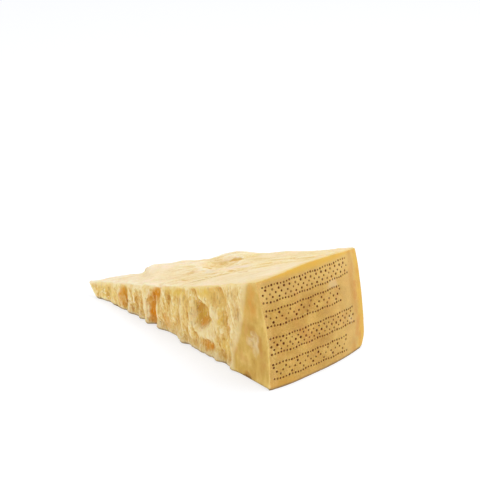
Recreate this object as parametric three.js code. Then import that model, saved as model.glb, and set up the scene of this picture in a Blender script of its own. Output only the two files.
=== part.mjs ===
// A wedge of hard aged grating cheese, broken from a wheel.
// It lies on its flat underside. The pale top slopes down from the rind to a blunt tip, the two
// long sides are broken faces with upright flakes, and only the rind and the strip of knife cut
// beside it are smooth.
// Units are millimetres and +Z is up. Every shape is worked out in the wheel's own frame, with the
// wheel's axis at x = 0, y = 0 and the rind on the +X side. The mesh is then moved so that the
// origin lies at the middle of the underside.

import * as THREE from 'three';
import { mergeVertices } from 'three/addons/utils/BufferGeometryUtils.js';
import { ImprovedNoise } from 'three/addons/math/ImprovedNoise.js';

const { clamp, lerp, smoothstep, degToRad } = THREE.MathUtils;

// Rind, a piece of the wheel's barrel-shaped side
const WHEEL_RADIUS = 218;          // at the level of the underside
const WIDEST_LEVEL = -20;          // height at which the wheel is widest, below the underside
const RIND_LEAN = 13.2;            // how far the rind's top edge is set in from its foot
const FRONT_ANGLE = degToRad(-14.3);  // the rind runs from here round the wheel's axis
const BACK_ANGLE = degToRad(14.9);    // to here
const RIND_HEIGHT_FRONT = 78;
const RIND_HEIGHT_BACK = 73;
const RIND_CROWN = 4.2;            // how far the rind's top edge arches above a straight line
const FRONT_OVERHANG = 4;          // how far the front side leans out at the rind's top
const BACK_OVERHANG = 5;           // and the back side
const BACK_CORNER = 5;             // the foot's back corner is worn off by this much
const CORNER_HEIGHT = 9;           // up to this height
const FRONT_SWELL = 2.2;           // how far the rind swells out beside the front side
const FRONT_SWELL_FULL = 0.1;      // the swell fades from here, front edge 0 to back edge 1,
const FRONT_SWELL_END = 0.45;      // to here
const FRONT_CURVE = 3;             // how far the front side curves in beside the rind, at half height
const FRONT_CURVE_POWER = 3;       // the higher, the nearer to the rind the curve stays

// Blunt tip
const TIP_X = 2;
const TIP_Y = -21;
const TIP_WIDTH = 5;
const TIP_HEIGHT = 11.5;
const TIP_ROUNDING = 2.5;
const TIP_OVERHANG = 8.5;          // how far the tip's top juts out past its foot
const TIP_SMOOTHING = 0.14;        // share of the length over which the relief grows from the tip

// Bends of the top and of the back side
const FRONT_SAG = 4;               // how far the top's front edge hangs below a straight line
const FRONT_HOLLOWING = 4;         // how far the front side curves in
const BACK_RISE = 1;               // how far the top's back edge stands above a straight line
const BACK_BULGE = 6;              // how far the back side swells out
const BULGE_END = 0.35;            // where the back side swells out most, tip 0 to rind 1
const BULGE_POWER = 4;             // the higher, the nearer to the rind the swelling reaches
const SHELF_HEIGHT = 8;            // a broken shelf runs along the top's back edge
const SHELF_START = 0.195;         // where it begins at the back edge
const SHELF_SLANT = 0.12;          // how much later it begins towards the front
const SHELF_STEP = 0.015;          // length over which it rises
const SHELF_FOOT = 0.35;           // where it begins across the top, front 0 to back 1
const SHELF_BROW = 0.8;            // where it has its full height across the top

// Relief
const BAND_WIDTH_FOOT = 36;        // width of the smooth knife cut beside the rind, low down
const BAND_WIDTH_TOP = 6;          // and at the top
const BAND_LOW = 15;               // between these heights it narrows
const BAND_HIGH = 76;
const BAND_EDGE = 6;               // width over which the flakes begin
const BAND_LIP = 1.6;              // how far the break's edge stands proud of the knife cut
const FLAKE_WIDTH = 11;
const FLAKE_HEIGHT = 48;
const FLAKE_DEPTH = 5;
const FLAKE_ROUNDING = 0.12;       // how blunt the crests are, 0 for a knife edge
const FLAKE_MEAN = 0.52;           // mean of the flake pattern, which runs from 0 to 1
const FLAKE_WAVER = 5;             // how far a flake's edge wanders from upright
const WAVER_HEIGHT = 22;
const SWELL_SIZE = 45;             // broad, low undulation of the broken faces
const SWELL_DEPTH = 3;
const STREAK_WIDTH = 13;           // long shallow streaks on the top
const STREAK_LENGTH = 70;
const STREAK_DEPTH = 1.6;
const STREAK_TURN = degToRad(20);  // direction of the streaks, from the wedge's length
const RIDGE_COUNT = 4;             // upright ridges in the middle of the front
const RIDGE_FIRST_X = 91;
const RIDGE_SPACING = 11.6;
const RIDGE_Y = -38;
const RIDGE_Z = 26;
const RIDGE_REACH = [4.5, 9, 24];
const RIDGE_HEIGHT = 2.2;

// Mesh
const STEPS_LONG = 72;
const STEPS_WIDE = 18;             // an even number, as the underside's fans meet in the middle
const STEPS_HIGH = 20;
const UNDERSIDE_GROUP = 5;         // a box's sides come in the order +x, -x, +y, -y, +z, -z

const PASTE_COLOUR = 0xe3c583;
const PASTE_ROUGHNESS = 0.7;

// Places where the break goes deeper than the flakes, or stands out further. Each is an ellipsoid
// round a point on the surface, and a negative depth is a lump.
const BREAKS = [
    { name: 'cleft near the tip', at: [39, -27, 13], reach: [4.5, 8, 16], depth: 3.5 },
    { name: 'flake before the cleft', at: [68, -34, 18], reach: [6, 10, 26], depth: -3 },
    { name: 'cleft', at: [75, -32, 12], reach: [5, 9, 22], depth: 5 },
    { name: 'top of the cleft', at: [82, -34, 31], reach: [5.5, 9, 12], depth: 3.5 },
    { name: 'deep hollow', at: [135, -42, 31], reach: [11, 13, 13], depth: 6.5 },
    { name: 'lip of the hollow', at: [149, -46, 37], reach: [5, 9, 8], depth: -3 },
    { name: 'pocket behind the lip', at: [160, -47, 37], reach: [6, 8, 11], depth: 3 },
    { name: 'bite below the top', at: [154, -46, 51], reach: [11, 12, 9], depth: 4 },
    { name: 'wall beside the bite', at: [171, -50, 46], reach: [7, 10, 30], depth: -2 },
    { name: 'notch in the wall', at: [168, -47, 30], reach: [4, 8, 7], depth: 3 },
    { name: 'dent at the foot', at: [143, -42, 10], reach: [7, 9, 7], depth: 2.5 },
    { name: 'foot before the flake', at: [50, -28, 3], reach: [7, 8, 11], depth: 2 },
    { name: 'foot behind the cleft', at: [86, -33, 3], reach: [9, 8, 12], depth: 1.8 },
    { name: 'foot before the heel', at: [98, -35, 2], reach: [6, 8, 9], depth: 2.5 },
    { name: 'heel below the ridges', at: [109, -36, 3], reach: [8, 9, 13], depth: -3 },
    { name: 'foot of the wall', at: [162, -47, 4], reach: [11, 9, 14], depth: 2.2 },
    { name: 'crater in the top', at: [108, 8, 48], reach: [23, 12, 14], depth: 4 },
    { name: 'rim behind the crater', at: [106, 25, 49], reach: [30, 12, 12], depth: -3 },
    { name: 'dent in the back', at: [138, 44, 26], reach: [20, 14, 18], depth: 5 },
];

// Upright ridges side by side, as lumps of the same kind
const RIDGES = Array.from({ length: RIDGE_COUNT }, (_, i) => {
    const x = RIDGE_FIRST_X + RIDGE_SPACING * i;
    return { at: [x, RIDGE_Y, RIDGE_Z], reach: RIDGE_REACH, depth: -RIDGE_HEIGHT };
});

const noise = new ImprovedNoise();

// How far the rind is set in at a height, as on a barrel
function rindInset(z) {
    const curve = (height) => (height - WIDEST_LEVEL) ** 2 - WIDEST_LEVEL ** 2;
    return RIND_LEAN * curve(z) / curve(RIND_HEIGHT_FRONT);
}

// How far the front side curves in beside the rind
function frontCurve(up) {
    return FRONT_CURVE * Math.sin(Math.PI * up);
}

// A point on the rind: across 0 is the front edge and 1 the back edge, up runs from 0 to 1
function rindPoint(across, up) {
    const crown = RIND_CROWN * Math.sin(Math.PI * across);
    const z = up * (lerp(RIND_HEIGHT_FRONT, RIND_HEIGHT_BACK, across) + crown);
    const swell = FRONT_SWELL * (1 - smoothstep(across, FRONT_SWELL_FULL, FRONT_SWELL_END));
    const radius = WHEEL_RADIUS - rindInset(z) + swell;
    const front = FRONT_ANGLE + (frontCurve(up) - FRONT_OVERHANG * up) / WHEEL_RADIUS;
    const corner = BACK_CORNER * smoothstep(CORNER_HEIGHT - z, 0, CORNER_HEIGHT);
    const back = BACK_ANGLE - (BACK_OVERHANG * (1 - up) + corner) / WHEEL_RADIUS;
    const angle = lerp(front, back, across);
    return new THREE.Vector3(radius * Math.cos(angle), radius * Math.sin(angle), z);
}

// A point on the blunt tip, by the same two shares
function tipPoint(across, up) {
    const side = 2 * across - 1;
    const x = TIP_X + TIP_ROUNDING * side ** 2 - TIP_OVERHANG * up;
    return new THREE.Vector3(x, TIP_Y + TIP_WIDTH / 2 * side, TIP_HEIGHT * up);
}

// The wedge without its relief: long runs from 0 at the tip to 1 at the rind
function wedgePoint(long, across, up) {
    const point = tipPoint(across, up).lerp(rindPoint(across, up), long);
    const bend = Math.sin(Math.PI * long);
    const tipBend = Math.sin(Math.PI * Math.sqrt(long));
    const shelfStart = SHELF_START + SHELF_SLANT * (1 - across);
    const shelfEnd = smoothstep(long, shelfStart, shelfStart + SHELF_STEP) * (1 - long);
    const shelf = shelfEnd * smoothstep(across, SHELF_FOOT, SHELF_BROW);
    const bulge = smoothstep(long, SHELF_START, BULGE_END) * (1 - long ** BULGE_POWER);
    const curve = frontCurve(up) * (long - long ** FRONT_CURVE_POWER);
    point.z -= FRONT_SAG * bend * (1 - across) * up;
    point.z += (SHELF_HEIGHT * shelf + BACK_RISE * bend * across) * up;
    point.y += (FRONT_HOLLOWING * tipBend - curve) * (1 - across);
    point.y += BACK_BULGE * bulge * across;
    return point;
}

// How far the surface stands out from the plain wedge at a point that faces the given way
function relief(point, normal) {
    const { x, y, z } = point;
    const upright = 1 - Math.abs(normal.z);
    const fromRind = WHEEL_RADIUS - rindInset(z) - Math.hypot(x, y);
    const narrowing = clamp((z - BAND_LOW) / (BAND_HIGH - BAND_LOW), 0, 1);
    const fromBand = fromRind - lerp(BAND_WIDTH_FOOT, BAND_WIDTH_TOP, narrowing);
    const broken = smoothstep(fromBand, 0, BAND_EDGE);
    const lip = BAND_LIP * Math.exp(-((fromBand / BAND_EDGE - 1) ** 2));
    const side = upright * (broken * flakes(point) + lip);
    const top = (1 - upright) * broken * streaks(point);
    return side + top - breakDepth(point);
}

// Upright flakes with sharp crests, on broad swells
function flakes({ x, y, z }) {
    const swell = noise.noise(x / SWELL_SIZE, y / SWELL_SIZE, z / SWELL_SIZE);
    const waver = FLAKE_WAVER * noise.noise(x / SWELL_SIZE, y / SWELL_SIZE, z / WAVER_HEIGHT);
    const edge = noise.noise((x + waver) / FLAKE_WIDTH, y / FLAKE_WIDTH, z / FLAKE_HEIGHT);
    const flake = 1 - 2 * Math.hypot(edge, FLAKE_ROUNDING);
    return SWELL_DEPTH * swell + FLAKE_DEPTH * (flake - FLAKE_MEAN);
}

// Long shallow waves across the top
function streaks({ x, y }) {
    const along = x * Math.cos(STREAK_TURN) + y * Math.sin(STREAK_TURN);
    const across = y * Math.cos(STREAK_TURN) - x * Math.sin(STREAK_TURN);
    return STREAK_DEPTH * noise.noise(along / STREAK_LENGTH, across / STREAK_WIDTH, 0);
}

// How deep the named breaks and the ridges go at a point
function breakDepth(point) {
    let depth = 0;
    for (const { at, reach, depth: fullDepth } of [...BREAKS, ...RIDGES]) {
        const offsets = point.toArray().map((value, i) => (value - at[i]) / reach[i]);
        const nearness = Math.max(0, 1 - Math.hypot(...offsets) ** 2);
        depth += fullDepth * smoothstep(nearness, 0, 1);
    }
    return depth;
}

// A box grid with shared vertices, without the cells of its underside
function openGrid() {
    const box = new THREE.BoxGeometry(1, 1, 1, STEPS_LONG, STEPS_WIDE, STEPS_HIGH);
    const underside = box.groups[UNDERSIDE_GROUP];
    box.setIndex(Array.from(box.index.array).slice(0, underside.start));
    box.clearGroups();
    box.deleteAttribute('normal');
    box.deleteAttribute('uv');
    box.translate(0.5, 0.5, 0.5);
    return mergeVertices(box);
}

// The flat underside: strips straight across it, with a fan at the tip and one at the rind
function undersideTriangles(grid) {
    const position = grid.attributes.position;
    const found = new Map();
    const key = (long, across) => `${Math.round(long * STEPS_LONG)},${Math.round(across * STEPS_WIDE)}`;
    for (let i = 0; i < position.count; i++) {
        if (position.getZ(i) === 0) found.set(key(position.getX(i), position.getY(i)), i);
    }
    const at = (i, j) => found.get(`${i},${j}`);
    const triangles = [];
    const middle = STEPS_WIDE / 2;
    for (let j = 0; j < STEPS_WIDE; j++) {
        const side = j < middle ? 0 : STEPS_WIDE;
        triangles.push(at(0, j), at(0, j + 1), at(1, side));
        triangles.push(at(STEPS_LONG, j + 1), at(STEPS_LONG, j), at(STEPS_LONG - 1, side));
    }
    triangles.push(at(0, middle), at(1, STEPS_WIDE), at(1, 0));
    triangles.push(at(STEPS_LONG, middle), at(STEPS_LONG - 1, 0), at(STEPS_LONG - 1, STEPS_WIDE));
    for (let i = 1; i < STEPS_LONG - 1; i++) {
        triangles.push(at(i, 0), at(i, STEPS_WIDE), at(i + 1, 0));
        triangles.push(at(i, STEPS_WIDE), at(i + 1, STEPS_WIDE), at(i + 1, 0));
    }
    return triangles;
}

// The whole wedge: the grid is bent to the plain wedge, then everything but the rind gets relief
function wedgeGeometry() {
    const geometry = openGrid();
    geometry.setIndex([...geometry.index.array, ...undersideTriangles(geometry)]);
    const shares = geometry.attributes.position.clone();
    const position = geometry.attributes.position;
    for (let i = 0; i < position.count; i++) {
        const point = wedgePoint(shares.getX(i), shares.getY(i), shares.getZ(i));
        position.setXYZ(i, point.x, point.y, point.z);
    }
    geometry.computeVertexNormals();
    const normals = geometry.attributes.normal;
    for (let i = 0; i < position.count; i++) {
        const onRind = shares.getX(i) === 1;
        if (onRind) continue;
        const point = new THREE.Vector3().fromBufferAttribute(position, i);
        const normal = new THREE.Vector3().fromBufferAttribute(normals, i);
        if (shares.getZ(i) === 0) normal.setZ(0).normalize();
        const growth = smoothstep(shares.getX(i), 0, TIP_SMOOTHING);
        point.addScaledVector(normal, growth * relief(point, normal));
        position.setXYZ(i, point.x, point.y, point.z);
    }
    geometry.computeVertexNormals();
    return geometry;
}

const paste = new THREE.MeshStandardMaterial({
    color: PASTE_COLOUR,
    roughness: PASTE_ROUGHNESS,
    metalness: 0,
});
const wedge = new THREE.Mesh(wedgeGeometry(), paste);
wedge.name = 'cheese_wedge';

const extent = new THREE.Box3().setFromObject(wedge);
const middle = extent.getCenter(new THREE.Vector3());
wedge.position.set(-middle.x, -middle.y, 0);

const group = new THREE.Group();
group.add(wedge);

export default group;
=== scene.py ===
import itertools
import math
from functools import cached_property

import bmesh
import bpy
import numpy as np
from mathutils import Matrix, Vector


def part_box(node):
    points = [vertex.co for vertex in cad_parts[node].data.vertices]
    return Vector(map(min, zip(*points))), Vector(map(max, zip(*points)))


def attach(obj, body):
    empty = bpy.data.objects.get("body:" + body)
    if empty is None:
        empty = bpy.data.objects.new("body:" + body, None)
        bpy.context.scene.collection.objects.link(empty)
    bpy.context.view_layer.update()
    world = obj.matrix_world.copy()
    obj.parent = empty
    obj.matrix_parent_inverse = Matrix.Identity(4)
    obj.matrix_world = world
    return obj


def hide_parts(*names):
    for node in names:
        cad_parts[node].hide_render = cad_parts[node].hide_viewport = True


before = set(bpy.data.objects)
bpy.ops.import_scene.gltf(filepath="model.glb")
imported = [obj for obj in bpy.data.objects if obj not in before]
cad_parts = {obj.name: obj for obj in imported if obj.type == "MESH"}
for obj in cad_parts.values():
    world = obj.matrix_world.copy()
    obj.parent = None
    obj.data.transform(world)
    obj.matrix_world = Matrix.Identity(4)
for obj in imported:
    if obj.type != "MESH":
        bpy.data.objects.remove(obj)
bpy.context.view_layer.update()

NODE = "cheese_wedge"
MM = 0.001

# The wheel
WHEEL_RADIUS = 218.0           # at the level of the floor
WIDEST_LEVEL = -20.0           # height at which the wheel is widest
RIND_LEAN = 13.2               # how far the rind's top edge is set in from its foot
RIND_HEIGHT = 78.0
RIND_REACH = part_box(NODE)[1].x / MM  # its furthest point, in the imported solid's frame
WHEEL_AXIS_Y = 0.884
AXIS = np.array([RIND_REACH - WHEEL_RADIUS, WHEEL_AXIS_Y, 0])  # the wheel's axis in that frame

# The smooth knife cut beside the rind, which narrows upwards
BAND_WIDTH_FOOT = 36.0
BAND_WIDTH_TOP = 6.0
BAND_LOW = 15.0
BAND_HIGH = 76.0
BAND_OVERLAP = 1.0
BAND_EDGE = 6.0                # how far from it the broken face has its full roughness

# The top: how its front edge rises from the tip
TOP_START = 13.0
TOP_SLOPE = 0.27
TOP_BEND = 0.0003
TOP_REACH = (24.0, 16.0)       # how far below this edge a flake that faces up counts as top

# The crease of the top. It starts at the front edge and runs towards the rind, slanting away from
# the edge, and more so as it bends. A thin sheet ends behind it in a small step.
CREASE_START = (115.5, -33.2)
CREASE_SLOPE = 0.4
CREASE_BEND = 0.018
CREASE_BEND_END = 20.0
CREASE_HEAD = (-6.0, 8.0)
CREASE_TAIL = (26.0, 18.2)
CREASE_WALL = (1.8, 0.54)      # from its rim to its floor
CREASE_DEPTH = 0.7
SHEET_HEIGHT = 0.55
SHEET_STEP = (-0.3, 0.7)
SHEET_FADE = (14.0, 1.0)

# Bands of pricks on the rind. Each has the height of its middle, where it starts and ends along the
# rind, how many columns it has, and whether a lattice or a wave runs between its two rails.
PRICK_BANDS = [
    {"middle": 67.8, "start": -53.0, "end": 38.0, "columns": 33, "lattice": True},
    {"middle": 51.0, "start": -52.0, "end": 24.5, "columns": 29, "lattice": False},
    {"middle": 31.5, "start": -50.8, "end": 38.0, "columns": 33, "lattice": True},
    {"middle": 13.1, "start": -49.8, "end": 26.0, "columns": 29, "lattice": False},
]
BAND_SAG = 0.00028             # how the bands drop towards the back
RAIL_ROW = 2                   # how many rows the rails are from the middle
WAVE_LENGTH = 4.0              # in columns
PRICK_PITCH_UP = 2.75
PRICK_RADIUS = 1.04
RAIL_SHARE = 0.93              # size of the rails' pricks, as a share of the others'
PRICK_FLOOR = 0.55             # how wide its floor is, as a share of its radius
PRICK_DEPTH = 0.7
PRICK_STRAY = 0.11             # how far a prick lies off its place, as a share of the pitch
PRICK_UNEVENNESS = 0.16        # share by which the pricks' sizes differ
PRICK_FULLNESS = 0.85          # how deep and dark they are, and how much this differs
PRICK_FAINTNESS = 0.25

# How fast the pricks' differences change from column to column, row to row and band to band
STRAY_ACROSS_RATES = (7.1, 3.7, 1.0)
STRAY_UP_RATES = (5.3, 8.9, 2.0)
SIZE_RATES = (3.1, 5.9, 1.0)
FAINTNESS_RATES = (2.3, 4.1, 1.7)

# The mesh
WELD = 0.01
SHARP_ANGLE = math.radians(58)
SHARPNESS = 0.75
JOIN_ANGLE = math.radians(70)
SMOOTHING_LEVELS = 2
CELL = 0.4                     # edge of the even cells that the relief is pressed into
TRIANGLES = 192_000
FOOT_HEIGHT = 2.2              # below this the relief works sideways only
FOOT_INSET = 1.3               # how far the foot is rounded in
WEAR_ROUNDS = 30               # how widely the edges are worn round
WEAR_OF_RIND = 0.6             # how far the top's edge along the rind is, as a share of that
CREST_ROUNDS = 10              # how far the finer measure of crests and hollows looks
HOLLOW_ROUNDS = 160            # and the broader one
RIM_ROUNDS = 30                # how far the top's edges are tinted inwards

# The camera
CAMERA_TARGET = (117.3, 18.4, 67.0)
CAMERA_DISTANCE = 1336.0
CAMERA_AZIMUTH = math.radians(43.16)
CAMERA_ELEVATION = math.radians(20.97)
CAMERA_LENS = 135.0
SENSOR_WIDTH = 36.0
CLIP_START = 50.0
CLIP_END = 50_000.0

# The studio, in metres and watts
FLOOR_SIZE = 12
LAMPS = [
    {"name": "overhead", "place": (0.25, 0.35, 1.3), "size": 1.1, "power": 9},
    {"name": "front_left", "place": (-0.6, -1.4, 0.9), "size": 1.0, "power": 4.5},
]
SKY_STRENGTH = 0.6


# Numbers that a material works out

class Field(np.lib.mixins.NDArrayOperatorsMixin):
    """A number that a material works out at each point of a surface. It goes through the same
    formulas as an array of numbers: each step of a formula becomes one Math node."""

    STEPS = {
        np.add: "ADD", np.subtract: "SUBTRACT", np.multiply: "MULTIPLY", np.divide: "DIVIDE",
        np.absolute: "ABSOLUTE", np.sin: "SINE", np.sqrt: "SQRT", np.arctan2: "ARCTAN2",
        np.floor: "FLOOR", np.less: "LESS_THAN", np.minimum: "MINIMUM", np.maximum: "MAXIMUM",
        np.remainder: "FLOORED_MODULO",
    }

    def __init__(self, tree, socket):
        self.tree = tree
        self.socket = socket

    def __array_ufunc__(self, step, method, *inputs, **options):
        node = self.tree.nodes.new("ShaderNodeMath")
        node.operation = self.STEPS[step]
        for socket, value in zip(node.inputs, inputs):
            feed(self.tree, socket, value)
        return Field(self.tree, node.outputs[0])


def feed(tree, socket, value):
    """Sets a socket to a constant, or links it to a field or another socket."""
    if isinstance(value, Field):
        value = value.socket
    if isinstance(value, bpy.types.NodeSocket):
        tree.links.new(value, socket)
    else:
        socket.default_value = value


# Formulas for both the relief, which is made of arrays, and the colours, which are made of fields

def smooth_step(value, start, end):
    """0 up to start and 1 from end on, with a soft bend at both; start may be above end."""
    share = np.minimum(np.maximum((value - start) / (end - start), 0.0), 1.0)
    return share * share * (3.0 - 2.0 * share)


def between(value, rise, fall):
    """A rise from 0 to 1 and a fall back to 0, each from its start to its end."""
    return smooth_step(value, *rise) * smooth_step(value, *fall)


def blend(share, first, second):
    return first + (second - first) * share


def within(value, low, high):
    """1 where a whole number lies from low to high, both included, else 0."""
    return np.less(np.absolute(value - (low + high) / 2), (high - low) / 2 + 0.5) * 1.0


def rind_inset(z):
    """How far the rind is set in at a height, as on a barrel."""
    low = WIDEST_LEVEL ** 2
    curve = (z - WIDEST_LEVEL) * (z - WIDEST_LEVEL) - low
    return curve * (RIND_LEAN / ((RIND_HEIGHT - WIDEST_LEVEL) ** 2 - low))


def depth_under_rind(x, y, z):
    return WHEEL_RADIUS - rind_inset(z) - np.sqrt(x * x + y * y)


def distance_from_band(x, y, z):
    """How far a place is from the edge of the smooth knife cut, negative inside it."""
    narrowing = np.minimum(np.maximum((z - BAND_LOW) / (BAND_HIGH - BAND_LOW), 0.0), 1.0)
    return depth_under_rind(x, y, z) - blend(narrowing, BAND_WIDTH_FOOT, BAND_WIDTH_TOP)


def on_broken(x, y, z):
    """0 on the smooth knife cut and 1 on the broken face beside it."""
    return smooth_step(distance_from_band(x, y, z), -BAND_OVERLAP, BAND_EDGE)


def below_top(x, z):
    """How far a place on the front side is below the top's edge."""
    return x * x * TOP_BEND + x * TOP_SLOPE + TOP_START - z


def behind_crease(x, y):
    """How far a place on the top is behind the crease, negative in front of it."""
    along = x - CREASE_START[0]
    bent = np.minimum(np.maximum(along, 0.0), CREASE_BEND_END)
    return y - CREASE_START[1] - along * CREASE_SLOPE - bent * bent * CREASE_BEND


def along_crease(x):
    """1 beside the crease, falling to 0 past its ends."""
    return between(x - CREASE_START[0], CREASE_HEAD, CREASE_TAIL)


def in_crease(x, y):
    """1 along the crease of the top, falling to 0 at its rims."""
    return smooth_step(np.absolute(behind_crease(x, y)), *CREASE_WALL) * along_crease(x)


def on_sheet(x, y):
    """1 on the thin sheet that ends in a small step at the crease, falling to 0 behind it."""
    return between(behind_crease(x, y), SHEET_STEP, SHEET_FADE) * along_crease(x)


def ellipsoids(x, y, z, places):
    """The sum of soft lumps. Each place has a name, a middle, a reach along x, y and z, and a
    size."""
    total = 0.0
    for _, middle, reach, size in places:
        away = [(value - m) * (1 / r) for value, m, r in zip((x, y, z), middle, reach)]
        apart = away[0] * away[0] + away[1] * away[1] + away[2] * away[2]
        total = total + smooth_step(apart, 1.0, 0.0) * size
    return total


def uneven(column, row, band, rates):
    """A number from -1 to 1 that differs from prick to prick."""
    return np.sin(column * rates[0] + row * rates[1] + band * rates[2])


def pricks(x, y, z):
    """1 in the middle of each prick of the rind, falling to 0 at its rim."""
    along = WHEEL_RADIUS * np.arctan2(y, x)
    total = 0.0
    for number, band in enumerate(PRICK_BANDS):
        pitch = (band["end"] - band["start"]) / (band["columns"] - 1)
        sag = (along - band["start"]) * (along - band["start"]) * BAND_SAG
        across = (along - band["start"]) * (1 / pitch)
        up = (z + sag - band["middle"]) * (1 / PRICK_PITCH_UP)
        column = np.floor(across + 0.5)
        row = np.floor(up + 0.5)
        level = np.absolute(row)
        rails = within(level, RAIL_ROW, RAIL_ROW)
        lattice = within(np.remainder(column + row, 2.0), 0, 0) * within(level, 0, RAIL_ROW - 1)
        swing = np.absolute(np.remainder(column, WAVE_LENGTH) - WAVE_LENGTH / 2)
        inner = lattice if band["lattice"] else within(swing - row, 1, 1)
        shown = np.maximum(rails, inner) * within(column, 0, band["columns"] - 1)
        stray_across = uneven(column, row, number, STRAY_ACROSS_RATES) * PRICK_STRAY
        stray_up = uneven(column, row, number, STRAY_UP_RATES) * PRICK_STRAY
        off_across = (across - column - stray_across) * pitch
        off_up = (up - row - stray_up) * PRICK_PITCH_UP
        distance = np.sqrt(off_across * off_across + off_up * off_up)
        radius = (uneven(column, row, number, SIZE_RATES) * PRICK_UNEVENNESS + 1.0) * PRICK_RADIUS
        radius = radius * blend(rails, 1.0, RAIL_SHARE)
        faint = uneven(column, row, number, FAINTNESS_RATES) * PRICK_FAINTNESS + PRICK_FULLNESS
        total = total + smooth_step(distance / radius, 1.0, PRICK_FLOOR) * faint * shown
    return total


# Noise

TABLE = 256
WAVE_GAIN = 1.5                # brings the waves to between about -1 and 1
RIDGE_FALL = 3.2
PLATE_BEND = 0.35              # how far the plates' outlines stray, as a share of their size
PLATE_BEND_RATE = 0.9
PLATE_BEVEL = 0.22


def hashed(cell, seed):
    """A whole number from 0 to TABLE - 1 for each integer cell, the same for the same seed."""
    shuffle = np.random.default_rng(seed).permutation(TABLE)
    key = shuffle[cell[:, 0] % TABLE]
    key = shuffle[(key + cell[:, 1]) % TABLE]
    return shuffle[(key + cell[:, 2]) % TABLE]


def waves(points, seed):
    """Smooth noise between about -1 and 1, one cell of noise for each unit of the points."""
    gradients = np.random.default_rng(seed + 1).normal(size=(TABLE, 3)).astype(np.float32)
    gradients /= np.linalg.norm(gradients, axis=1)[:, None]
    cell = np.floor(points).astype(np.int64)
    inside = (points - cell).astype(np.float32)
    ease = inside ** 3 * (inside * (inside * 6 - 15) + 10)
    total = np.zeros(len(points), np.float32)
    for corner in itertools.product((0, 1), repeat=3):
        corner = np.array(corner)
        weight = np.prod(np.where(corner, ease, 1 - ease), axis=1)
        slopes = gradients[hashed(cell + corner, seed)]
        total += weight * np.sum(slopes * (inside - corner), axis=1)
    return total * WAVE_GAIN


def wavering(points, seed):
    """A different smooth noise for each of the three axes."""
    return np.stack([waves(points, seed + 10 * axis) for axis in range(3)], axis=1)


def ridges(points, seed):
    """Sharp crests between round valleys, between about -1 and 1."""
    return 1 - RIDGE_FALL * np.abs(waves(points, seed))


def plates(points, seed):
    """A surface broken into plates one unit across, each at its own height and slant, with bevels
    where they meet."""
    middles = np.random.default_rng(seed + 1).random((TABLE, 3)).astype(np.float32)
    slants = np.random.default_rng(seed + 2).uniform(-1, 1, (TABLE, 3)).astype(np.float32)
    bent = points + PLATE_BEND * wavering(points * PLATE_BEND_RATE, seed)
    cell = np.floor(bent).astype(np.int64)
    inside = (bent - cell).astype(np.float32)
    nearest, second = np.full((2, len(points)), np.inf, np.float32)
    height, second_height = np.zeros((2, len(points)), np.float32)
    for corner in itertools.product((-1, 0, 1), repeat=3):
        corner = np.array(corner)
        key = hashed(cell + corner, seed)
        way = (inside - corner - middles[key]).astype(np.float32)
        distance = np.sqrt(np.sum(way * way, axis=1))
        level = slants[key, 0] + np.sum(slants[key] * way, axis=1)
        first = distance < nearest
        later = ~first & (distance < second)
        second = np.where(first, nearest, np.where(later, distance, second))
        second_height = np.where(first, height, np.where(later, level, second_height))
        nearest = np.where(first, distance, nearest)
        height = np.where(first, level, height)
    share = 0.5 + 0.5 * smooth_step(second - nearest, 0, PLATE_BEVEL)
    return blend(share, second_height, height)


def layered(points, layers):
    """The sum of patterns. Each layer has its pattern, its height, its size along x, y and z, and
    its seed."""
    total = 0.0
    for pattern, height, size, seed in layers:
        total = total + height * pattern(points / np.array(size), seed)
    return total


# The relief

BROKEN_LAYERS = [
    (ridges, 0.55, (10, 12, 36), 100),
    (plates, 0.5, (9, 10, 17), 140),
    (plates, 0.26, (4, 5, 8), 160),
    (ridges, 0.12, (2.8, 3.2, 9), 180),
]
CRUMB_LAYERS = [
    (waves, 0.18, (1.6, 1.6, 2.2), 190),
    (waves, 0.08, (0.9, 0.9, 0.9), 200),
]
CUT_LAYERS = [
    (waves, 0.35, (14, 14, 18), 300),
    (waves, 0.1, (4, 4, 7), 310),
]
CHIP_LAYERS = [
    (plates, 0.5, (4, 4, 4), 340),
    (ridges, 0.2, (2.5, 2.5, 2.5), 350),
]
TOP_LAYERS = [
    (plates, 0.34, (22, 9, 14), 500),
    (ridges, 0.15, (15, 3.4, 8), 540),
]
RIND_LAYERS = [
    (waves, 0.14, (10, 10, 10), 700),
    (waves, 0.06, (1.6, 1.6, 1.6), 710),
]
CUT_CRUMB = 0.3                # how much of the broken faces' crumb the knife cut has
TOP_CRUMB = 0.7
CHIP_DEPTH = 0.4

# Which way a surface faces: how far its normal points up, or for the rind away from the axis
TOP_FACING = (0.45, 0.75)
UNDERSIDE_FACING = (-0.9, -0.6)
RIND_FACING = (0.75, 0.92)
RIND_SKIN = (2.0, 0.8)         # how close to the wheel's outline the rind is
EDGE_FACING = ((0.1, 0.35), (0.9, 0.65))  # between a side and the top

STREAK_TURN = math.radians(20)  # direction of the streaks of the top, from the wedge's length
STREAK_COS = math.cos(STREAK_TURN)
STREAK_SIN = math.sin(STREAK_TURN)
FLAKE_LEAN = 0.25              # how far the flakes of the sides lean towards the tip
SPOT_STRAY = 2.2               # how far the outlines of spots stray
SPOT_STRAY_SIZE = 6.0
SPOT_SEED = 900

# Where the broken faces are calmer than elsewhere
CALM_PLACES = [
    ("bite below the top", (154, -45, 51), (14, 12, 11), 0.8),
    ("deep hollow", (135, -42, 31), (12, 13, 13), 0.6),
]
CALM_BELOW_TOP = (13.0, 2.0)
CALM_SHARE = 0.6
CALMEST = 0.85

# Where the top is rougher
ROUGH_PLACES = [("crater", (122, 2, 52), (30, 20, 16), 1.6)]
ROUGH_BEHIND_CREASE = (-1.0, 4.0)
FRONT_ROUGHNESS = 0.3          # in front of the crease

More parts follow.
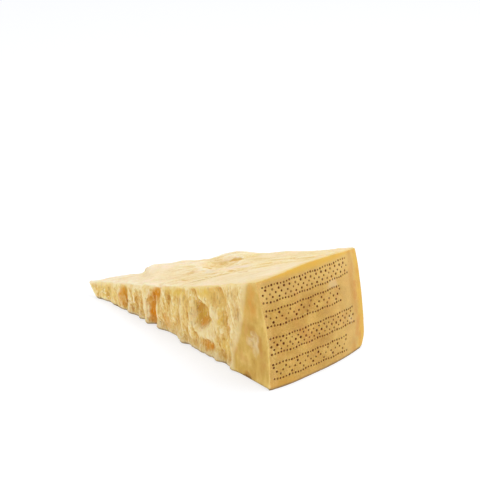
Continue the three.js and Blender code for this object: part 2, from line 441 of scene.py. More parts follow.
CHIPS = [
    ("head", (196.5, -51, 34), (6, 8, 5.5), 1.1),
    ("middle", (194.5, -50, 30.5), (6.5, 8, 5.5), 0.9),
    ("left", (190.5, -49.5, 28), (5.5, 8, 4.5), 0.9),
    ("tail", (197.5, -51, 25), (4.5, 8, 7), 0.9),
]
FOOT_NICKS = [("before the rind", (188, -50, 0), (6, 8, 7), 1.4)]
TOP_DENTS = [
    ("far", (115.5, 16, 50), (9, 3, 9), 0.7),
    ("far left", (103, 15, 46), (7, 3, 9), 0.2),
    ("near", (130, -17.5, 53), (6, 1.6, 9), 0.5),
    ("second crease", (103, -25.6, 44), (7, 1.3, 9), 0.4),
    ("middle", (137, -11, 56), (6, 2.8, 9), 0.8),
    ("left", (100.5, 0, 45), (5.5, 3, 9), 0.7),
    ("by the crease", (154.5, -19, 62), (6, 2.8, 9), 0.8),
]


def along_streaks(x, y, z):
    """A place turned so that the top's streaks run along the first axis."""
    return x * STREAK_COS + y * STREAK_SIN, y * STREAK_COS - x * STREAK_SIN, z


def strayed(places):
    """Places moved about a little, which gives spots uneven outlines."""
    return places + SPOT_STRAY * wavering(places / SPOT_STRAY_SIZE, SPOT_SEED)


def on_rind(places, normals):
    """1 on the rind and 0 elsewhere."""
    x, y, z = places.T
    outwards = (normals[:, 0] * x + normals[:, 1] * y) / np.hypot(x, y)
    return smooth_step(outwards, *RIND_FACING) * smooth_step(depth_under_rind(x, y, z), *RIND_SKIN)


def on_top(normals):
    return smooth_step(normals[:, 2], *TOP_FACING)


def broken_relief(places):
    """Upright ridges and flakes, calmer below the top's edge and in the hollows, and crumb."""
    x, y, z = places.T
    leaning = np.stack([x + FLAKE_LEAN * z, y, z], axis=1)
    calm = CALM_SHARE * smooth_step(below_top(x, z), *CALM_BELOW_TOP)
    calm = np.minimum(ellipsoids(x, y, z, CALM_PLACES) + calm, CALMEST)
    return layered(leaning, BROKEN_LAYERS) * (1 - calm) + layered(places, CRUMB_LAYERS)


def cut_relief(places):
    """The knife cut: nearly even, with faint dents, and rough where chips broke out of it."""
    chipped = np.minimum(ellipsoids(*strayed(places).T, CHIPS), 1)
    chips = chipped * (layered(places, CHIP_LAYERS) - CHIP_DEPTH)
    rough = chips - ellipsoids(*places.T, FOOT_NICKS)
    return layered(places, CUT_LAYERS) + CUT_CRUMB * layered(places, CRUMB_LAYERS) + rough


def top_relief(places):
    """Thin sheets broken off along the streaks, rougher behind the crease, with dents and crumb."""
    x, y, z = places.T
    turned = np.stack(along_streaks(x, y, z), axis=1)
    rough = blend(smooth_step(behind_crease(x, y), *ROUGH_BEHIND_CREASE), FRONT_ROUGHNESS, 1.0)
    rough = rough + ellipsoids(x, y, z, ROUGH_PLACES)
    flakes = layered(turned, TOP_LAYERS) * rough + TOP_CRUMB * layered(places, CRUMB_LAYERS)
    dents = ellipsoids(*strayed(places).T, TOP_DENTS) + CREASE_DEPTH * in_crease(x, y)
    return flakes + SHEET_HEIGHT * on_sheet(x, y) - dents


def rind_relief(places):
    """A waxy skin, faintly wavy, with a fine grain, and the pricks."""
    return layered(places, RIND_LAYERS) - PRICK_DEPTH * pricks(*places.T)


def relief(places, normals):
    """How far the surface stands out from the smoothed solid, in millimetres."""
    top = on_top(normals)
    rind = on_rind(places, normals)
    side = (1 - top) * (1 - rind) * smooth_step(normals[:, 2], *UNDERSIDE_FACING)
    broken = on_broken(*places.T)
    faces = [
        (side * broken, broken_relief),
        (side * (1 - broken), cut_relief),
        (top * (1 - rind), top_relief),
        (rind, rind_relief),
    ]
    total = np.zeros(len(places), np.float32)
    for share, formula in faces:
        shown = share > 0
        total[shown] += share[shown] * formula(places[shown])
    return total


# The form

def smoothed_solid(node):
    """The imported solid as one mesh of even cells, with its facets smoothed and its edges kept."""
    mesh = node.data.copy()
    grid = bmesh.new()
    grid.from_mesh(mesh)
    bmesh.ops.remove_doubles(grid, verts=grid.verts, dist=WELD * MM)
    bmesh.ops.join_triangles(grid, faces=grid.faces, angle_face_threshold=JOIN_ANGLE,
                             angle_shape_threshold=JOIN_ANGLE)
    crease = grid.edges.layers.float.new("crease_edge")
    for edge in grid.edges:
        if edge.calc_face_angle(0) > SHARP_ANGLE:
            edge[crease] = SHARPNESS
    grid.to_mesh(mesh)
    grid.free()
    piece = bpy.data.objects.new("cheese_wedge_surface", mesh)
    bpy.context.scene.collection.objects.link(piece)
    smoothing = piece.modifiers.new("smoothing", "SUBSURF")
    smoothing.levels = SMOOTHING_LEVELS
    cells = piece.modifiers.new("cells", "REMESH")
    cells.mode = "VOXEL"
    cells.voxel_size = CELL * MM
    return piece


def apply_modifiers(piece):
    """Puts the mesh that the piece's modifiers make in place of its own."""
    evaluated = piece.evaluated_get(bpy.context.evaluated_depsgraph_get())
    mesh = bpy.data.meshes.new_from_object(evaluated)
    piece.modifiers.clear()
    piece.data = mesh


def vertex_places(mesh):
    """The vertices in millimetres, in the wheel's frame."""
    places = np.zeros(len(mesh.vertices) * 3, np.float32)
    mesh.vertices.foreach_get("co", places)
    return places.reshape(-1, 3) / MM - AXIS


def vertex_normals(mesh):
    normals = np.zeros(len(mesh.vertices) * 3, np.float32)
    mesh.vertex_normals.foreach_get("vector", normals)
    return normals.reshape(-1, 3)


def set_places(mesh, places):
    mesh.vertices.foreach_set("co", ((places + AXIS) * MM).astype(np.float32).ravel())
    mesh.update()


def spread(values, mesh, rounds):
    """Each vertex's value averaged with its neighbours', again and again."""
    edges = np.zeros(len(mesh.edges) * 2, np.int32)
    mesh.edges.foreach_get("vertices", edges)
    edges = edges.reshape(-1, 2)
    pairs = np.concatenate([edges, edges[:, ::-1]])
    pairs = pairs[np.argsort(pairs[:, 0], kind="stable")]
    starts = np.searchsorted(pairs[:, 0], np.arange(len(mesh.vertices)))
    counts = np.diff(np.append(starts, len(pairs)))[:, None]
    for _ in range(rounds):
        values = (values + np.add.reduceat(values[pairs[:, 1]], starts) / counts) / 2
    return values


def wear_edges(mesh):
    """Rounds the top's edges, less so along the rind and the knife cut."""
    places = vertex_places(mesh).astype(np.float32)
    facing_up = spread(vertex_normals(mesh)[:, 2:], mesh, WEAR_ROUNDS)[:, 0]
    from_band = smooth_step(distance_from_band(*places.T), 0, BAND_EDGE)
    share = between(facing_up, *EDGE_FACING) * blend(from_band, WEAR_OF_RIND, 1.0)
    set_places(mesh, blend(share[:, None], places, spread(places, mesh, WEAR_ROUNDS)))


def press_relief(mesh):
    """Moves every vertex in or out by the relief. The underside stays flat."""
    places = vertex_places(mesh)
    normals = vertex_normals(mesh)
    foot = places[:, 2] < FOOT_HEIGHT
    inset = FOOT_INSET * (1 - np.minimum(places[:, 2] / FOOT_HEIGHT, 1)) ** 2
    heights = relief(places, normals) - inset
    level = normals * (1, 1, 0)
    directions = np.where(foot[:, None], level, normals)
    places = places + directions * heights[:, None]
    places[:, 2] = np.maximum(places[:, 2], 0)
    set_places(mesh, places)
    x, _, z = places.T
    store(mesh, "rind", on_rind(places, normals))
    store(mesh, "top", on_top(normals) * smooth_step(below_top(x, z), *TOP_REACH))


def thin_out(piece):
    """Brings the mesh down to its number of triangles, which stay small where it bends most."""
    count = sum(len(face.vertices) - 2 for face in piece.data.polygons)
    thinning = piece.modifiers.new("thinning", "DECIMATE")
    thinning.ratio = TRIANGLES / count
    apply_modifiers(piece)


def linked(start):
    """The vertices that can be reached from one vertex along the edges."""
    reached = {start}
    waiting = [start]
    while waiting:
        vertex = waiting.pop()
        for edge in vertex.link_edges:
            other = edge.other_vert(vertex)
            if other not in reached:
                reached.add(other)
                waiting.append(other)
    return reached


def mend(mesh):
    """Joins vertices that lie together, and keeps the wedge alone, without the tiny closed bits
    that the cells leave in sharp corners."""
    grid = bmesh.new()
    grid.from_mesh(mesh)
    bmesh.ops.remove_doubles(grid, verts=grid.verts, dist=WELD * MM)
    wedge = linked(max(grid.verts, key=lambda vertex: vertex.co.x))
    strays = [vertex for vertex in grid.verts if vertex not in wedge]
    bmesh.ops.delete(grid, geom=strays, context="VERTS")
    grid.to_mesh(mesh)
    grid.free()


def store(mesh, name, values):
    """Keeps a number for each vertex, which the material reads by its name."""
    attribute = mesh.attributes.new(name, "FLOAT", "POINT")
    attribute.data.foreach_set("value", np.asarray(values, np.float32))


def mark_crests(mesh):
    """Keeps how far each vertex stands out from its surroundings, near and wide."""
    places = vertex_places(mesh).astype(np.float32)
    normals = vertex_normals(mesh)
    for name, rounds in (("crest", CREST_ROUNDS), ("hollow", HOLLOW_ROUNDS)):
        around = spread(places, mesh, rounds)
        store(mesh, name, np.sum((places - around) * normals, axis=1))


def mark_rims(mesh):
    """Keeps how much of each vertex's surroundings is top, which falls towards the top's edges."""
    top = np.zeros(len(mesh.vertices), np.float32)
    mesh.attributes["top"].data.foreach_get("value", top)
    store(mesh, "top_around", spread(top[:, None], mesh, RIM_ROUNDS)[:, 0])


def mark_spots(mesh):
    """Keeps where the surface has a colour of its own, in spots with strayed outlines."""
    x, y, z = strayed(vertex_places(mesh)).T
    for name, (_, spots) in TINTS.items():
        store(mesh, name, np.minimum(ellipsoids(x, y, z, spots), 1))
    store(mesh, "dents", ellipsoids(x, y, z, TOP_DENTS))
    store(mesh, "specks", ellipsoids(x, y, z, SPECK_PLACES))
    store(mesh, "rind_pale", ellipsoids(x, y, z, PALE_RIND_PLACES))


def cheese_wedge():
    piece = smoothed_solid(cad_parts[NODE])
    apply_modifiers(piece)
    wear_edges(piece.data)
    press_relief(piece.data)
    thin_out(piece)
    mend(piece.data)
    mark_crests(piece.data)
    mark_rims(piece.data)
    mark_spots(piece.data)
    piece.data.shade_smooth()
    piece.data.materials.clear()
    piece.data.materials.append(cheese_material())
    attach(piece, "root")
    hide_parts(NODE)


# Colours

def srgb(red, green, blue):
    """A colour as seen on a screen, each part from 0 to 255, as the light that it stands for."""
    parts = []
    for value in (red / 255, green / 255, blue / 255):
        parts.append(value / 12.92 if value <= 0.04045 else ((value + 0.055) / 1.055) ** 2.4)
    return (*parts, 1.0)


# Each face's colours, from its hollows to its crests. Where the crests and hollows pick them, the
# darker ones are partly painted shade and the paler ones partly painted highlight
PASTE = [srgb(199, 140, 52), srgb(222, 179, 94), srgb(234, 203, 127), srgb(248, 231, 180)]
CUT = [srgb(194, 144, 56), srgb(213, 174, 85), srgb(235, 202, 118)]
TOP = [srgb(222, 184, 110), srgb(238, 214, 158), srgb(249, 236, 204)]
RIND = [srgb(184, 132, 58), srgb(212, 166, 82), srgb(240, 200, 112)]

PALE_PASTE = srgb(238, 216, 160)
DARK_PASTE = srgb(186, 148, 86)
LIGHT_RIND = srgb(244, 206, 128)

# Colours laid over these, each with its share where it is full
COATS = {
    "cut pink": (srgb(214, 160, 86), 0.6),
    "lip": (PALE_PASTE, 0.5),
    # Painted shade: the broken paste darker towards the foot
    "low shade": (DARK_PASTE, 0.4),
    "pale strokes": (PALE_PASTE, 0.7),
    "dark strokes": (DARK_PASTE, 0.6),
    "cream edge": (srgb(246, 222, 160), 0.75),
    "specks": (srgb(250, 234, 190), 0.9),
    "top pink": (srgb(252, 224, 194), 0.6),
    "pale tip": (srgb(253, 238, 214), 0.4),
    "white": (srgb(240, 226, 208), 1.0),
    "dents": (srgb(220, 176, 96), 1.0),
    # Painted shade along the crease of the top
    "crease": (srgb(196, 160, 100), 0.6),
    "front strip": (srgb(242, 225, 194), 0.4),
    "waxy": (srgb(234, 202, 124), 0.75),
    # Pale line on sharp edges near the rind: partly wear, partly a painted highlight
    "wear and edge highlight": (srgb(244, 212, 132), 0.7),
    # Painted contact shadow: the paste darkened along the foot, where it meets the floor
    "foot": (srgb(124, 96, 56), 0.85),
    "rind orange": (srgb(216, 154, 78), 0.6),
    "rind foot": (srgb(226, 170, 70), 0.7),
    "rind light": (LIGHT_RIND, 1.0),
    "rind pale": (srgb(236, 208, 158), 1.0),
    # Painted light: the rind paler towards its top
    "painted light on the rind": (LIGHT_RIND, 0.35),
    "rind edge": (srgb(237, 188, 76), 0.8),
    "rind blotches": (srgb(222, 152, 74), 0.7),
    "rind border": (srgb(214, 156, 76), 1.0),
    "pricks": (srgb(112, 48, 0), 1.2),
}

# Colours that the paste has in some places: each has the colour, and its spots, with the middle,
# the reach and the share of the colour there
TINTS = {
    "straw": (srgb(242, 210, 126), [
        ("at the tip", (18, -23, 11), (22, 9, 13), 0.75),
        ("in the bite", (150, -44, 50), (20, 9, 12), 0.35),
        ("between the flake and the bite", (108, -38, 34), (20, 9, 12), 0.3),
    ]),
    "golden": (srgb(231, 194, 84), [
        ("below the top's edge", (136, -44, 52), (40, 10, 8), 0.9),
        ("below the top's edge, left", (100, -38, 40), (26, 10, 7), 0.7),
        ("above the cleft", (78, -33, 32), (6, 9, 6), 0.9),
        ("above the flake", (67, -33, 29), (5, 9, 6), 0.5),
        ("above the groove", (38, -25, 19), (7, 9, 6), 0.9),
        ("by the tip", (14, -23, 9), (9, 9, 7), 0.6),
        ("left of the hollow", (126, -40, 31), (5, 9, 13), 0.6),
        ("pocket behind the lip", (155, -43, 37), (5, 9, 10), 0.9),
        ("foot of the wall", (163, -46, 14), (7, 9, 10), 0.6),
    ]),
    "pinkish": (srgb(231, 197, 118), [
        ("bite below the top", (152, -43, 50), (11, 10, 9), 0.9),
        ("beside the cleft", (86, -35, 24), (7, 9, 14), 0.4),
    ]),
    "pale": (srgb(244, 226, 176), [
        ("wall beside the bite", (176, -51, 44), (7, 9, 30), 0.35),
        ("wall beside the bite, middle", (174, -49, 34), (4, 9, 10), 0.4),
        ("lip of the hollow", (150, -46, 33), (6, 9, 11), 0.9),
        ("below the hollow", (140, -43, 20), (15, 10, 9), 0.9),
        ("rim of the hollow", (126, -41, 28), (3, 9, 13), 0.7),
        ("flake before the cleft", (68, -34, 14), (4, 9, 13), 0.7),
        ("ridge above the heel", (112, -39, 26), (2.5, 9, 20), 0.5),
    ]),
    "chip": (srgb(226, 197, 142), CHIPS),
    "brown": (srgb(196, 142, 58), [
        ("above the chip", (193, -51, 40), (6, 9, 3), 0.5),
        ("beside the chip", (202, -51, 31), (3.5, 9, 9), 0.9),
        ("beside the rind, low", (205, -52, 18), (5, 9, 16), 0.5),
    ]),
    "honey": (srgb(214, 169, 66), [
        ("deep hollow", (134, -37, 30), (7, 13, 12), 1.0),
    ]),
    "amber": (srgb(220, 141, 0), [
        ("bottom of the hollow", (137, -37, 25), (4, 13, 6), 0.7),
        ("cleft", (74, -29, 12), (4.5, 11, 20), 1.0),
        ("top of the cleft", (80, -31, 29), (6, 11, 11), 0.75),
        ("groove near the tip", (35.5, -25.5, 12.5), (5.5, 9, 11), 0.95),
        ("patch behind the cleft", (93, -35, 11), (6, 8, 8), 0.5),
        ("notch in the wall", (168, -47, 30), (4, 8, 7), 0.4),
        ("foot of the hollow", (142, -42, 9), (8, 12, 5), 0.7),
    ]),
    "orange": (srgb(218, 154, 62), [
        ("beside the rind, high", (195, -53, 66), (5, 9, 17), 0.6),
        ("beside the rind, lower", (192, -52, 53), (8, 9, 11), 0.4),
    ]),
}
SPECK_PLACES = [
    ("by the tip", (12.7, -23, 8), (8, 9, 6), 1.6),
    ("above the hollow", (128, -41, 40), (9, 10, 7), 1.4),
]
TOP_WHITE_PLACES = [
    ("left of the crater", (112, -5, 47), (9, 8, 9), 0.9),
    ("right of it", (136, -3, 57), (20, 4, 9), 0.9),
    ("before it", (122, -14, 51), (8, 5, 9), 0.6),
]
PALE_RIND_PLACES = [
    ("between the upper bands", (209, 17, 58), (7, 7, 4), 0.5),
    ("by the third band", (213, 33, 27), (4, 4, 4), 0.4),
]

# Soft noises of the colours, with the size of their waves along x, y and z. The turned ones run
# along the top's streaks.
NOISES = {
    "mottling": {"size": (4, 4, 8), "detail": 3.0},
    "crumbs": {"size": (1.8, 1.8, 3.0)},
    "grain": {"size": (0.9, 0.9, 1.1)},
    "strokes": {"size": (1.5, 1.5, 8)},
    "patches": {"size": (9, 9, 14), "detail": 3.0},
    "pink": {"size": (8, 8, 12), "turned": True},
    "streaks": {"size": (16, 3.0, 8), "detail": 3.0, "turned": True},
    "blush": {"size": (16, 9, 14), "turned": True},
    "rind_mottling": {"size": (16, 16, 13), "detail": 4.0, "roughness": 0.6},
    "rind_warmth": {"size": (11, 11, 20), "detail": 3.0, "roughness": 0.6, "turned": True},
    "rind_speckle": {"size": (0.8, 0.8, 0.8)},
    "rind_blotches": {"size": (5, 5, 9), "detail": 3.0, "roughness": 0.6},
}

# How much each face's colour follows the crests, the wider hollows and the noises. Following the
# crests and hollows paints shade into the hollows and highlight onto the crests
PASTE_WEIGHTS = {"crest": 2.8, "hollow": 0.3, "mottling": 0.4, "crumbs": 0.35, "grain": 0.15}
CUT_WEIGHTS = {"patches": 0.9, "mottling": 0.3, "crest": 2.0, "grain": 0.15}
TOP_WEIGHTS = {"streaks": 0.65, "crest": 3.0, "hollow": 0.3, "grain": 0.15}
RIND_WEIGHTS = {"rind_mottling": 0.7, "rind_speckle": 0.5}


class Palette:
    """A material's nodes, with one method for each kind that the materials here use."""

    def __init__(self, name):
        self.material = bpy.data.materials.new(name)
        self.material.use_nodes = True
        self.tree = self.material.node_tree
        self.surface = self.tree.nodes["Principled BSDF"]
        self.values = {}

    def field(self, socket):
        return Field(self.tree, socket)

    def set_surface(self, settings):
        for name, value in settings.items():
            self.surface.inputs[name].default_value = value

    @cached_property
    def place(self):
        """x, y and z in millimetres, in the wheel's frame."""
        corner = self.tree.nodes.new("ShaderNodeTexCoord").outputs["Object"]
        apart = self.tree.nodes.new("ShaderNodeSeparateXYZ")
        feed(self.tree, apart.inputs[0], corner)
        starts = [float(start) for start in AXIS]
        return [self.field(part) * (1 / MM) - start for part, start in zip(apart.outputs, starts)]

    def value(self, name):
        """A noise, or else a number kept with the mesh, by its name."""
        if name not in self.values:
            kept = name not in NOISES
            self.values[name] = self.attribute(name) if kept else self.noise(**NOISES[name])
        return self.values[name]

    def attribute(self, name):
        node = self.tree.nodes.new("ShaderNodeAttribute")
        node.attribute_name = name
        return self.field(node.outputs["Fac"])

    def vector(self, x, y, z):
        node = self.tree.nodes.new("ShaderNodeCombineXYZ")
        for socket, value in zip(node.inputs, (x, y, z)):
            feed(self.tree, socket, value)
        return node.outputs[0]

    def noise(self, size, detail=2.0, roughness=0.5, turned=False):
        """Soft noise from about -1 to 1 with waves of the given size."""
        place = along_streaks(*self.place) if turned else self.place
        node = self.tree.nodes.new("ShaderNodeTexNoise")
        scaled = self.vector(*(part * (1 / length) for part, length in zip(place, size)))
        feed(self.tree, node.inputs["Vector"], scaled)
        feed(self.tree, node.inputs["Scale"], 1.0)
        feed(self.tree, node.inputs["Detail"], detail)
        feed(self.tree, node.inputs["Roughness"], roughness)
        return self.field(node.outputs["Fac"]) * 4.0 - 2.0

    def specks(self, spacing, radius):
        """1 in the middle of small uneven specks. The radius is a share of their spacing."""
        node = self.tree.nodes.new("ShaderNodeTexVoronoi")
        stray = self.noise([spacing / 2] * 3) * SPECK_STRAY
        moved = self.vector(*(part * (1 / spacing) + stray for part in self.place))
        feed(self.tree, node.inputs["Vector"], moved)
        feed(self.tree, node.inputs["Scale"], 1.0)
        return smooth_step(self.field(node.outputs["Distance"]), radius, radius * SPECK_CORE)

    def weighted(self, weights):
        """The sum of some values, each times its weight."""
        return sum(self.value(name) * weight for name, weight in weights.items())

    def ramp(self, value, colours):
        """Colours at evenly spaced values from -1 to 1."""
        node = self.tree.nodes.new("ShaderNodeValToRGB")
        feed(self.tree, node.inputs[0], value * 0.5 + 0.5)
        stops = node.color_ramp.elements
        stops[0].color = colours[0]
        stops[1].color = colours[-1]
        for i, colour in enumerate(colours[1:-1], 1):
            stops.new(i / (len(colours) - 1)).color = colour
        return node.outputs[0]

    def mix(self, share, first, second):
        """Two colours, which are the node's sockets 6 and 7 and give its socket 2."""
        node = self.tree.nodes.new("ShaderNodeMix")
        node.data_type = "RGBA"
        feed(self.tree, node.inputs[0], share)
        feed(self.tree, node.inputs[6], first)
        feed(self.tree, node.inputs[7], second)
        return node.outputs[2]

    def coated(self, colour, coats):
        """A colour with others laid over it in turn, each where its field says."""
        for name, where in coats.items():
            coat, share = COATS[name]
            colour = self.mix(where * share, colour, coat)
        return colour


# The sides

TIP_SIDE = (110.0, 50.0)       # towards the tip their colours differ more
TIP_CONTRAST = 1.45
PINK_NOISE = (0.1, 1.0)
LIP_BESIDE_BAND = ((-1.0, 2.0), (8.0, 3.0))
# Painted shade low on the broken faces: its height, and where it starts along the wedge
LOW_SHADE_HEIGHT = (16.0, 4.0)
LOW_SHADE_START = (20.0, 60.0)
TINT_SHARE = 0.85              # how full the tints are on the whole, and how much this differs
TINT_MOTTLING = 0.6
STROKE_NOISE = (0.2, 0.9)
CALM_IN_AMBER = 0.5            # by how much the strokes are fainter there
CREAM_EDGE_DEPTH = (5.5, 1.0)
CREAM_EDGE_MOTTLING = (-1.2, 0.2)
SPECK_SPACING = 2.4
SPECK_RADIUS = 0.38
SPARSE_SPACING = 3.1           # of those that lie all over the broken faces
SPARSE_RADIUS = 0.2
SPARSE_SHARE = 0.3
SPECK_CORE = 0.4               # how wide a speck's middle is, as a share of its radius
SPECK_STRAY = 0.12             # how uneven the specks are, as a share of their spacing


def side_colour(palette):
    """The knife cut and the broken paste, with tints in some places, strokes and specks."""
    x, y, z = palette.place
    edge = distance_from_band(x, y, z)
    broken = on_broken(x, y, z)
    mottling = palette.value("mottling")
    knife_cut = palette.coated(palette.ramp(palette.weighted(CUT_WEIGHTS), CUT), {
        "cut pink": smooth_step(palette.value("pink"), *PINK_NOISE),
    })
    paste = palette.weighted(PASTE_WEIGHTS) * blend(smooth_step(x, *TIP_SIDE), 1.0, TIP_CONTRAST)
    # painted shade, darker low on the broken faces
    low = smooth_step(z, *LOW_SHADE_HEIGHT) * smooth_step(x, *LOW_SHADE_START)
    colour = palette.mix(broken, knife_cut, palette.ramp(paste, PASTE))
    colour = palette.coated(colour, {
        "lip": between(edge, *LIP_BESIDE_BAND),
        "low shade": low * broken,
    })
    for name, (tint, _) in TINTS.items():
        share = palette.value(name) * (mottling * TINT_MOTTLING + TINT_SHARE)
        colour = palette.mix(share, colour, tint)
    strokes = palette.value("strokes")
    stroked = broken * (1.0 - palette.value("amber") * CALM_IN_AMBER)
    cream = smooth_step(below_top(x, z), *CREAM_EDGE_DEPTH)
    specks = palette.specks(SPECK_SPACING, SPECK_RADIUS) * np.minimum(palette.value("specks"), 1.0)
    sparse = palette.specks(SPARSE_SPACING, SPARSE_RADIUS) * SPARSE_SHARE
    return palette.coated(colour, {
        "pale strokes": smooth_step(strokes, *STROKE_NOISE) * stroked,
        "dark strokes": smooth_step(strokes * -1.0, *STROKE_NOISE) * stroked,
        "cream edge": cream * smooth_step(mottling, *CREAM_EDGE_MOTTLING) * broken,
        "specks": np.maximum(specks, sparse) * broken,
    })


# The top

BLUSH_NOISE = (0.0, 1.0)
PALE_TIP_START = (110.0, 60.0)
WHITE_STREAKS = (-0.8, 0.3)
FULLEST_SPOT = 0.9             # the most of the colour below that a white spot or a dent hides
DENT_FULLNESS = 1.3
FRONT_STRIP = (-3.0, -8.0)     # as places before the crease
WAXY_UNDER_RIND = (6.0, 0.5)
WAXY_CORNER = (222.0, 246.0)   # at the rind's front end, as x - y
WAXY_CORNER_DEPTH = (30.0, 10.0)
WAXY_RIM = (0.97, 0.6)         # by how much of the surroundings is top
WAXY_RIM_START = (90.0, 150.0)
WAXY_RIM_FRONT = (-10.0, -25.0)


def top_colour(palette):
    """Pale, streaked paste, whiter and pinker in places, and waxy along the rind and the edge."""
    x, y, z = palette.place
    under_rind = depth_under_rind(x, y, z)
    streaks = palette.value("streaks")
    white = ellipsoids(x, y, z, TOP_WHITE_PLACES) * smooth_step(streaks, *WHITE_STREAKS)
    corner = smooth_step(x - y, *WAXY_CORNER) * smooth_step(under_rind, *WAXY_CORNER_DEPTH)
    rim = smooth_step(palette.value("top_around"), *WAXY_RIM)
    front_rim = rim * smooth_step(x, *WAXY_RIM_START) * smooth_step(y, *WAXY_RIM_FRONT)
    waxy = np.maximum(smooth_step(under_rind, *WAXY_UNDER_RIND), np.maximum(corner, front_rim))
    return palette.coated(palette.ramp(palette.weighted(TOP_WEIGHTS), TOP), {
        "top pink": smooth_step(palette.value("blush"), *BLUSH_NOISE),
        "pale tip": smooth_step(x, *PALE_TIP_START),
        "white": np.minimum(white, FULLEST_SPOT),
        "dents": np.minimum(palette.value("dents") * DENT_FULLNESS, FULLEST_SPOT),
        # painted shade in the crease
        "crease": in_crease(x, y),
        "front strip": smooth_step(behind_crease(x, y), *FRONT_STRIP),
        "waxy": waxy,
    })


# The rind. Places along it are measured round the wheel from the middle of the wedge. Its border is
# a line near its back end.

WARM_NOISE = (0.0, 1.2)
LOW_CORNER_LEAN = 0.3
LOW_CORNER = (0.0, -14.0)
LIGHT_ALONG = (-10.0, 40.0)
LIGHT_SHARE = 0.4
MARGIN_LEAN = 0.06             # of the margin before the bands' first pricks
MARGIN = (-45.0, -49.0)
MARGIN_SPECKLE = (0.1, 0.9)
MARGIN_SHARES = (0.25, 0.85)
# Painted light on the rind's upper part: from where it starts to where it is full
PAINTED_LIGHT_HEIGHT = (54.0, 68.0)
BORDER_START = 36.5
BORDER_LEAN = 0.11
BORDER_WARMTH = 1.6            # how far the warmth and the mottling move it
BORDER_MOTTLING = 1.2
BORDER_STRIPE = ((-5.0, 0.0), (4.5, 1.0))
STRIPE_SHARE = 0.4
STRIPE_WARMTH = 0.5
BEHIND_BORDER = (2.0, 9.0)
TOP_EDGE_HEIGHT = (73.0, 77.0)
TOP_EDGE_LEAN = 0.05
BLOTCH_NOISE = (-0.4, 0.8)
BLOTCHED = ((-5.0, 2.0), (13.0, 8.0))


def rind_colour(palette):
    """A mottled ochre rind, warmer in patches, golden at its edges, with its pricks."""
    x, y, z = palette.place
    mottling = palette.value("rind_mottling")
    warmth = palette.value("rind_warmth")
    along = WHEEL_RADIUS * np.arctan2(y, x)
    speckle = smooth_step(palette.value("rind_speckle"), *MARGIN_SPECKLE)
    margin = smooth_step(along + z * MARGIN_LEAN, *MARGIN) * blend(speckle, *MARGIN_SHARES)
    border = along - z * BORDER_LEAN - BORDER_START
    border = border + warmth * BORDER_WARMTH + mottling * BORDER_MOTTLING
    top_edge = smooth_step(z + along * TOP_EDGE_LEAN, *TOP_EDGE_HEIGHT)
    blotches = smooth_step(palette.value("rind_blotches"), *BLOTCH_NOISE)
    stripe = between(border, *BORDER_STRIPE) * (warmth * STRIPE_WARMTH + STRIPE_SHARE)
    return palette.coated(palette.ramp(palette.weighted(RIND_WEIGHTS), RIND), {
        "rind orange": smooth_step(warmth, *WARM_NOISE),
        "rind foot": smooth_step(z + along * LOW_CORNER_LEAN, *LOW_CORNER),
        "rind light": np.maximum(smooth_step(along, *LIGHT_ALONG) * LIGHT_SHARE, margin),
        "rind pale": palette.value("rind_pale"),
        # painted light, paler towards the top
        "painted light on the rind": smooth_step(z, *PAINTED_LIGHT_HEIGHT),
        "rind edge": np.maximum(smooth_step(border, *BEHIND_BORDER), top_edge),
        "rind blotches": blotches * between(border, *BLOTCHED),
        "rind border": stripe,
        "pricks": pricks(x, y, z),
    })


# The whole cheese

# Sharp edges near the rind made paler, partly wear and partly a painted highlight along them
WEAR_AND_HIGHLIGHT_CREST = (0.16, 0.4)
WEAR_AND_HIGHLIGHT_UNDER_RIND = (3.0, 1.0)
WEAR_AND_HIGHLIGHT_HEIGHT = (66.0, 40.0)
# Painted contact shadow along the foot: full below 0.3 mm, gone above 3 mm
FOOT_SHADE = (3.0, 0.3)
GRAIN_BUMP = 0.5
CRUMB_BUMP = 0.6
BUMP = {"Distance": 0.2 * MM, "Strength": 0.6}
CHEESE_SURFACE = {
    "Roughness": 0.55,
    "Specular IOR Level": 0.2,
    "Subsurface Weight": 0.35,
    "Subsurface Radius": (1.0, 0.6, 0.2),
    "Subsurface Scale": 3 * MM,
}


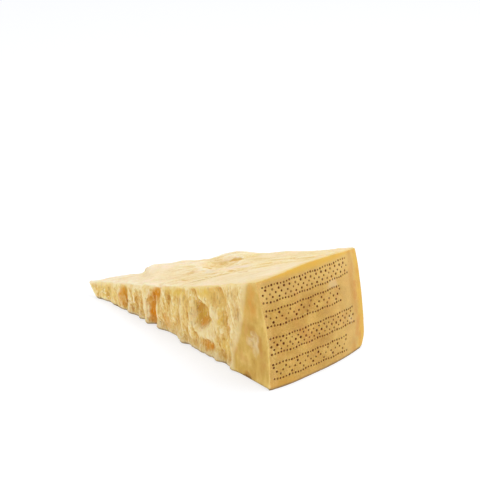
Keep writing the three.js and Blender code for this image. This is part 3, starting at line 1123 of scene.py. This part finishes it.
def cheese_material():
    palette = Palette("cheese")
    palette.set_surface(CHEESE_SURFACE)
    x, y, z = palette.place
    top = (palette.value("top") + palette.value("top_around")) * 0.5
    colour = palette.mix(top, side_colour(palette), top_colour(palette))
    colour = palette.mix(palette.value("rind"), colour, rind_colour(palette))
    crest = smooth_step(palette.value("crest"), *WEAR_AND_HIGHLIGHT_CREST)
    rind_edge = smooth_step(depth_under_rind(x, y, z), *WEAR_AND_HIGHLIGHT_UNDER_RIND)
    colour = palette.coated(colour, {
        # paler sharp edges near the rind: partly wear, partly painted highlight
        "wear and edge highlight": crest * rind_edge * smooth_step(z, *WEAR_AND_HIGHLIGHT_HEIGHT),
        # painted contact shadow along the foot
        "foot": smooth_step(z, *FOOT_SHADE),
    })
    feed(palette.tree, palette.surface.inputs["Base Color"], colour)

    bump = palette.tree.nodes.new("ShaderNodeBump")
    for name, value in BUMP.items():
        bump.inputs[name].default_value = value
    crumbs = palette.value("crumbs") * on_broken(x, y, z)
    height = palette.value("grain") * GRAIN_BUMP + crumbs * CRUMB_BUMP
    feed(palette.tree, bump.inputs["Height"], height)
    feed(palette.tree, palette.surface.inputs["Normal"], bump.outputs[0])
    return palette.material


# The studio

WHITE = (1, 1, 1, 1)
FLOOR_SURFACE = {
    "Base Color": (0.39, 0.4, 0.43, 1),
    "Roughness": 1.0,
    "Specular IOR Level": 0.0,
    "Emission Color": WHITE,
    "Emission Strength": 0.66,
}


def floor():
    bpy.ops.mesh.primitive_plane_add(size=FLOOR_SIZE)
    plane = bpy.context.object
    plane.name = "floor"
    palette = Palette("floor")
    palette.set_surface(FLOOR_SURFACE)
    plane.data.materials.append(palette.material)


def soft_light(name, place, size, power):
    """A round soft lamp that points at the middle of the floor."""
    light = bpy.data.lights.new(name, "AREA")
    light.shape = "DISK"
    light.size = size
    light.energy = power
    lamp = bpy.data.objects.new(name, light)
    bpy.context.scene.collection.objects.link(lamp)
    lamp.location = place
    lamp.rotation_euler = (-Vector(place)).to_track_quat("-Z", "Y").to_euler()


def studio():
    floor()
    for lamp in LAMPS:
        soft_light(**lamp)
    world = bpy.data.worlds.new("studio")
    bpy.context.scene.world = world
    world.use_nodes = True
    sky = world.node_tree.nodes["Background"]
    sky.inputs["Color"].default_value = WHITE
    sky.inputs["Strength"].default_value = SKY_STRENGTH
    bpy.context.scene.view_settings.view_transform = "Standard"


def camera():
    lens = bpy.data.cameras.new("camera")
    lens.lens = CAMERA_LENS
    lens.sensor_width = SENSOR_WIDTH
    lens.clip_start = CLIP_START * MM
    lens.clip_end = CLIP_END * MM
    body = bpy.data.objects.new("camera", lens)
    bpy.context.scene.collection.objects.link(body)
    back = Vector((
        math.sin(CAMERA_AZIMUTH) * math.cos(CAMERA_ELEVATION),
        -math.cos(CAMERA_AZIMUTH) * math.cos(CAMERA_ELEVATION),
        math.sin(CAMERA_ELEVATION),
    ))
    body.location = (Vector(AXIS + CAMERA_TARGET) + back * CAMERA_DISTANCE) * MM
    body.rotation_euler = (-back).to_track_quat("-Z", "Y").to_euler()
    bpy.context.scene.camera = body


camera()
studio()
cheese_wedge()
